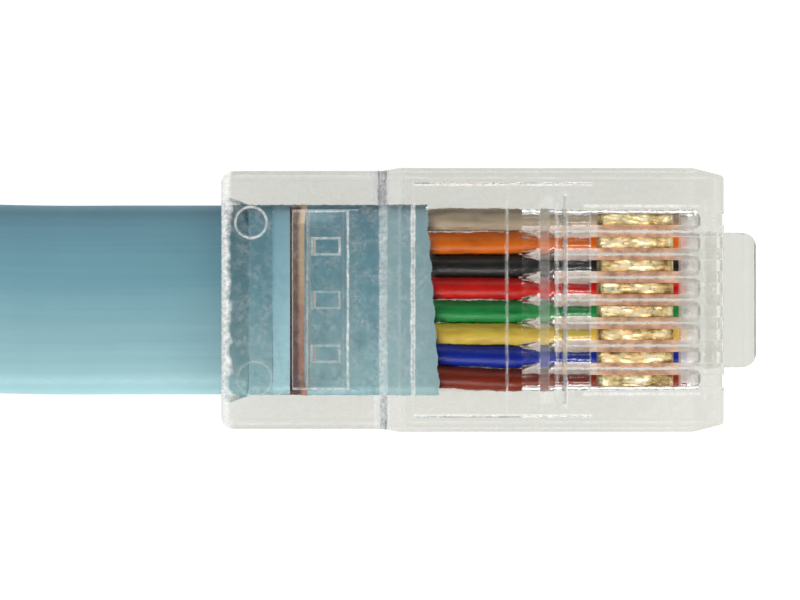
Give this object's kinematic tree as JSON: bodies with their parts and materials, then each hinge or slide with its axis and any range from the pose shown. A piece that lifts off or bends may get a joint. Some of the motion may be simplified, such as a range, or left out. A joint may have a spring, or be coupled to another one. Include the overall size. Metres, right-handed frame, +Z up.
{
  "type": "rj45 console cable",
  "caption": "Flat eight-wire rollover console cable with a clear latching modular plug on each end, its spare length wound into a strapped coil.",
  "frame": {"origin": "bottom centre of the near plug with its latch, on the surface that the cable lies on", "axes": "+X along the near plug towards its nose, +Y across the plug, +Z up, away from the latch and towards the contacts"},
  "size_m": [0.1454, 0.1072, 0.0117],
  "materials": {
    "clear_plastic": "clear moulded polycarbonate, glossy",
    "contact_gold": "gold plate, bright",
    "jacket_pvc": "smooth pale blue flexible PVC",
    "strap_fabric": "woven hook-and-loop strap",
    "wire_grey": "coloured wire insulation",
    "wire_orange": "coloured wire insulation",
    "wire_black": "coloured wire insulation",
    "wire_red": "coloured wire insulation",
    "wire_green": "coloured wire insulation",
    "wire_yellow": "coloured wire insulation",
    "wire_blue": "coloured wire insulation",
    "wire_brown": "coloured wire insulation"
  },
  "bodies": {
    "cable": {"plug_housing": "clear_plastic", "jacket_end": "jacket_pvc", "contact_1": "contact_gold", "contact_2": "contact_gold", "contact_3": "contact_gold", "contact_4": "contact_gold", "contact_5": "contact_gold", "contact_6": "contact_gold", "contact_7": "contact_gold", "contact_8": "contact_gold", "wire_1_grey": "wire_grey", "wire_2_orange": "wire_orange", "wire_3_black": "wire_black", "wire_4_red": "wire_red", "wire_5_green": "wire_green", "wire_6_yellow": "wire_yellow", "wire_7_blue": "wire_blue", "wire_8_brown": "wire_brown", "cable_run": "jacket_pvc", "cable_coil": "jacket_pvc", "cable_tail": "jacket_pvc", "coil_strap_1": "strap_fabric", "coil_strap_2": "strap_fabric", "far_plug_housing": "clear_plastic", "far_jacket_end": "jacket_pvc", "far_contact_1": "contact_gold", "far_contact_2": "contact_gold", "far_contact_3": "contact_gold", "far_contact_4": "contact_gold", "far_contact_5": "contact_gold", "far_contact_6": "contact_gold", "far_contact_7": "contact_gold", "far_contact_8": "contact_gold", "far_wire_1_grey": "wire_grey", "far_wire_2_orange": "wire_orange", "far_wire_3_black": "wire_black", "far_wire_4_red": "wire_red", "far_wire_5_green": "wire_green", "far_wire_6_yellow": "wire_yellow", "far_wire_7_blue": "wire_blue", "far_wire_8_brown": "wire_brown"},
    "latch": {"plug_latch": "clear_plastic"},
    "far_latch": {"far_plug_latch": "clear_plastic"}
  },
  "joints": [
    {"name": "latch_flex", "type": "hinge", "parent": "cable", "child": "latch", "pos_m": [0.01033, 0, 0.0046], "axis": [0, 1, 0], "range_deg": [0, 7], "stiffness_Nm_per_rad": 0.4},
    {"name": "far_latch_flex", "type": "hinge", "parent": "cable", "child": "far_latch", "pos_m": [-0.06047, -0.04904, 0.00585], "axis": [0, 0, 1], "range_deg": [0, 7], "stiffness_Nm_per_rad": 0.4}
  ]
}
